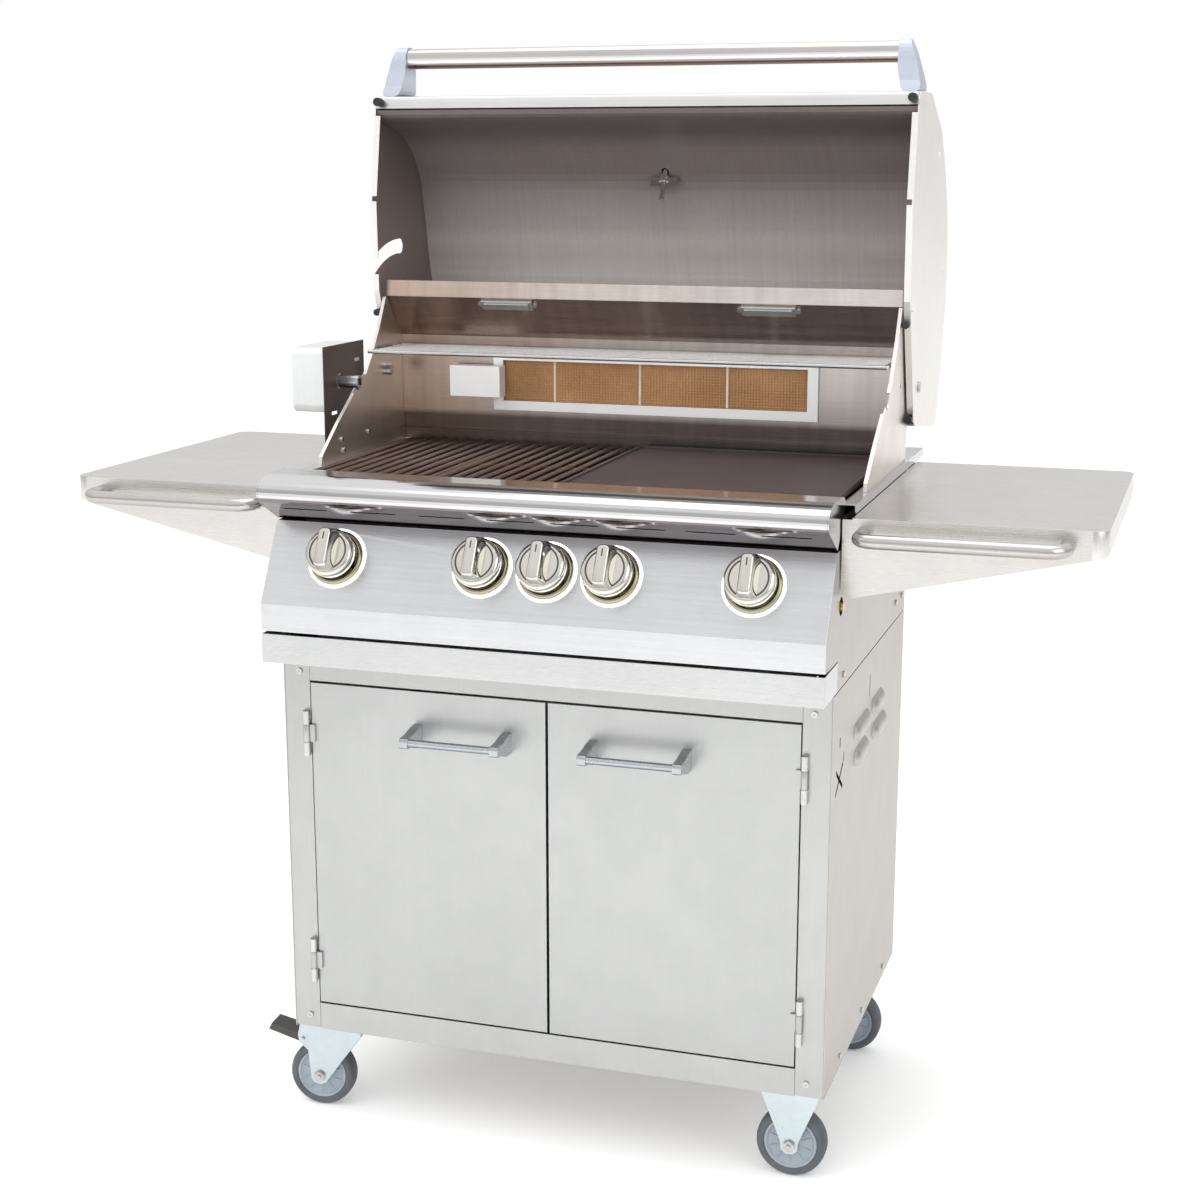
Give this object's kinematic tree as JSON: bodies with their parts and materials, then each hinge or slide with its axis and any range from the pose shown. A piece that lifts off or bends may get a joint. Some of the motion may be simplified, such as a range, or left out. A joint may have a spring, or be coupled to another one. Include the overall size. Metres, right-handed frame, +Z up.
{
  "type": "gas barbecue grill on cart",
  "caption": "Freestanding stainless gas barbecue grill on a wheeled cart, with a hinged hood, cupboard doors, side shelves, push-and-turn knobs and a rear burner.",
  "frame": {"origin": "middle of the object's footprint, on the ground", "axes": "+X to the grill's right-hand side seen from the front, +Y to its back, +Z up"},
  "size_m": [1.5, 0.8443, 1.6045],
  "materials": {
    "cart_steel": "fine brushed stainless steel",
    "side_steel": "fine brushed stainless steel, warmer tone",
    "polished_steel": "polished stainless steel",
    "panel_steel": "brushed stainless steel with long horizontal grain",
    "heat_steel": "stainless steel browned by heat",
    "hood_steel": "fine brushed stainless steel",
    "liner_steel": "dull brushed stainless steel",
    "bright_steel": "bright polished",
    "horn_metal": "satin cast metal",
    "knob_chrome": "polished cast metal",
    "bezel_chrome": "polished cast metal",
    "light_plastic": "clear white light guide",
    "brass_valve": "plain brass",
    "ceramic_tile": "porous fired ceramic",
    "rod_steel": "stainless rod darkened by heat",
    "griddle_steel": "flat steel plate, oiled",
    "rack_wire": "bright wire",
    "zinc": "bright zinc plate",
    "motor_case": "satin sheet steel",
    "rubber": "matt black rubber",
    "pedal_plastic": "moulded black plastic",
    "tyre_rubber": "grey-black rubber",
    "needle_paint": "red paint",
    "screw_steel": "plain steel"
  },
  "bodies": {
    "cart": {"cart_frame": "cart_steel", "side_panels": "side_steel", "cabinet_back_floor": "side_steel", "front_bar": "cart_steel", "side_skirts": "side_steel", "side_shelves": "side_steel", "towel_bars": "polished_steel", "firebox": "heat_steel", "hood_wings": "heat_steel", "back_wall": "liner_steel", "head_flange": "polished_steel", "control_panel": "panel_steel", "knob_bezels": "bezel_chrome", "light_rings": "light_plastic", "gas_manifold": "brass_valve", "main_burners": "heat_steel", "flame_tamers": "heat_steel", "rear_burner_frame": "bright_steel", "rear_burner_tiles": "ceramic_tile", "cooking_grates": "rod_steel", "griddle": "griddle_steel", "warming_rack": "rack_wire", "lamps": "bright_steel", "motor_bracket": "side_steel", "motor_housing": "motor_case", "fasteners": "screw_steel", "caster_mounts": "zinc", "hinge_pins": "screw_steel"},
    "hood": {"hood_skin": "hood_steel", "hood_ends": "hood_steel", "hood_liner": "liner_steel", "hood_handle_tube": "bright_steel", "hood_handle_brackets": "horn_metal", "hood_bumpers": "rubber", "thermometer": "bright_steel"},
    "needle": {"thermometer_needle": "needle_paint"},
    "left_cupboard_door": {"left_door": "cart_steel", "left_door_handle": "bright_steel"},
    "right_cupboard_door": {"right_door": "cart_steel", "right_door_handle": "bright_steel"},
    "front_left_swivel": {"front_left_fork": "zinc"},
    "rear_left_swivel": {"rear_left_fork": "zinc"},
    "front_left_pedal": {"front_left_brake": "pedal_plastic"},
    "rear_left_pedal": {"rear_left_brake": "pedal_plastic"},
    "front_left_roller": {"front_left_wheel": "tyre_rubber"},
    "rear_left_roller": {"rear_left_wheel": "tyre_rubber"},
    "front_right_roller": {"front_right_wheel": "tyre_rubber"},
    "rear_right_roller": {"rear_right_wheel": "tyre_rubber"},
    "spit_drive": {"spit_socket": "screw_steel"},
    "tray": {"grease_tray": "cart_steel"},
    "stem_1": {"valve_stem_1": "brass_valve"},
    "dial_1": {"knob_1": "knob_chrome"},
    "stem_2": {"valve_stem_2": "brass_valve"},
    "dial_2": {"knob_2": "knob_chrome"},
    "stem_3": {"valve_stem_3": "brass_valve"},
    "dial_3": {"knob_3": "knob_chrome"},
    "stem_4": {"valve_stem_4": "brass_valve"},
    "dial_4": {"knob_4": "knob_chrome"},
    "stem_5": {"valve_stem_5": "brass_valve"},
    "dial_5": {"knob_5": "knob_chrome"}
  },
  "joints": [
    {"name": "hood_hinge", "type": "hinge", "parent": "cart", "child": "hood", "pos_m": [0, 0.1664, 1.094], "axis": [1, 0, 0], "range_deg": [0, 90]},
    {"name": "needle_turn", "type": "hinge", "parent": "hood", "child": "needle", "pos_m": [0, 0.2854, 1.4909], "axis": [0, 0.4183, 0.9083], "range_deg": [-270, 0]},
    {"name": "left_door_hinge", "type": "hinge", "parent": "cart", "child": "left_cupboard_door", "pos_m": [-0.37, -0.3349, 0.44], "axis": [0, 0, -1], "range_deg": [0, 110]},
    {"name": "right_door_hinge", "type": "hinge", "parent": "cart", "child": "right_cupboard_door", "pos_m": [0.37, -0.3349, 0.44], "axis": [0, 0, 1], "range_deg": [0, 110]},
    {"name": "knob_1_turn", "type": "hinge", "parent": "cart", "child": "stem_1", "pos_m": [-0.302, -0.3582, 0.883], "axis": [0, -0.8782, 0.4783], "range_deg": [0, 180]},
    {"name": "knob_1_push", "type": "slide", "parent": "stem_1", "child": "dial_1", "axis": [0, 0.8782, -0.4783], "range_m": [0, 0.0035], "stiffness_N_per_m": 1200, "springref_m": -0.003},
    {"name": "knob_2_turn", "type": "hinge", "parent": "cart", "child": "stem_2", "pos_m": [-0.083, -0.3582, 0.883], "axis": [0, -0.8782, 0.4783], "range_deg": [0, 180]},
    {"name": "knob_2_push", "type": "slide", "parent": "stem_2", "child": "dial_2", "axis": [0, 0.8782, -0.4783], "range_m": [0, 0.0035], "stiffness_N_per_m": 1200, "springref_m": -0.003},
    {"name": "knob_3_turn", "type": "hinge", "parent": "cart", "child": "stem_3", "pos_m": [0.011, -0.3582, 0.883], "axis": [0, -0.8782, 0.4783], "range_deg": [0, 180]},
    {"name": "knob_3_push", "type": "slide", "parent": "stem_3", "child": "dial_3", "axis": [0, 0.8782, -0.4783], "range_m": [0, 0.0035], "stiffness_N_per_m": 1200, "springref_m": -0.003},
    {"name": "knob_4_turn", "type": "hinge", "parent": "cart", "child": "stem_4", "pos_m": [0.104, -0.3582, 0.883], "axis": [0, -0.8782, 0.4783], "range_deg": [0, 180]},
    {"name": "knob_4_push", "type": "slide", "parent": "stem_4", "child": "dial_4", "axis": [0, 0.8782, -0.4783], "range_m": [0, 0.0035], "stiffness_N_per_m": 1200, "springref_m": -0.003},
    {"name": "knob_5_turn", "type": "hinge", "parent": "cart", "child": "stem_5", "pos_m": [0.301, -0.3582, 0.883], "axis": [0, -0.8782, 0.4783], "range_deg": [0, 180]},
    {"name": "knob_5_push", "type": "slide", "parent": "stem_5", "child": "dial_5", "axis": [0, 0.8782, -0.4783], "range_m": [0, 0.0035], "stiffness_N_per_m": 1200, "springref_m": -0.003},
    {"name": "front_left_swivel_turn", "type": "hinge", "parent": "cart", "child": "front_left_swivel", "pos_m": [-0.35, -0.2676, 0.13], "axis": [0, 0, 1], "continuous": true},
    {"name": "front_left_wheel_spin", "type": "hinge", "parent": "front_left_swivel", "child": "front_left_roller", "pos_m": [-0.38985, -0.27109, 0.051], "axis": [0.0872, -0.9962, 0], "continuous": true},
    {"name": "front_left_brake_press", "type": "hinge", "parent": "front_left_swivel", "child": "front_left_pedal", "pos_m": [-0.41575, -0.27335, 0.11], "axis": [0.0872, -0.9962, 0], "range_deg": [0, 14]},
    {"name": "rear_left_swivel_turn", "type": "hinge", "parent": "cart", "child": "rear_left_swivel", "pos_m": [-0.35, 0.1684, 0.13], "axis": [0, 0, 1], "continuous": true},
    {"name": "rear_left_wheel_spin", "type": "hinge", "parent": "rear_left_swivel", "child": "rear_left_roller", "pos_m": [-0.38951, 0.17466, 0.051], "axis": [-0.1564, -0.9877, 0], "continuous": true},
    {"name": "rear_left_brake_press", "type": "hinge", "parent": "rear_left_swivel", "child": "rear_left_pedal", "pos_m": [-0.41519, 0.17872, 0.11], "axis": [-0.1564, -0.9877, 0], "range_deg": [0, 14]},
    {"name": "front_right_wheel_spin", "type": "hinge", "parent": "cart", "child": "front_right_roller", "pos_m": [0.35, -0.2676, 0.051], "axis": [0, 1, 0], "continuous": true},
    {"name": "rear_right_wheel_spin", "type": "hinge", "parent": "cart", "child": "rear_right_roller", "pos_m": [0.35, 0.1684, 0.051], "axis": [0, 1, 0], "continuous": true},
    {"name": "spit_drive_turn", "type": "hinge", "parent": "cart", "child": "spit_drive", "pos_m": [-0.43, -0.0346, 1.095], "axis": [1, 0, 0], "continuous": true},
    {"name": "grease_tray_slide", "type": "slide", "parent": "cart", "child": "tray", "axis": [0, 1, 0], "range_m": [0, 0.35]}
  ]
}
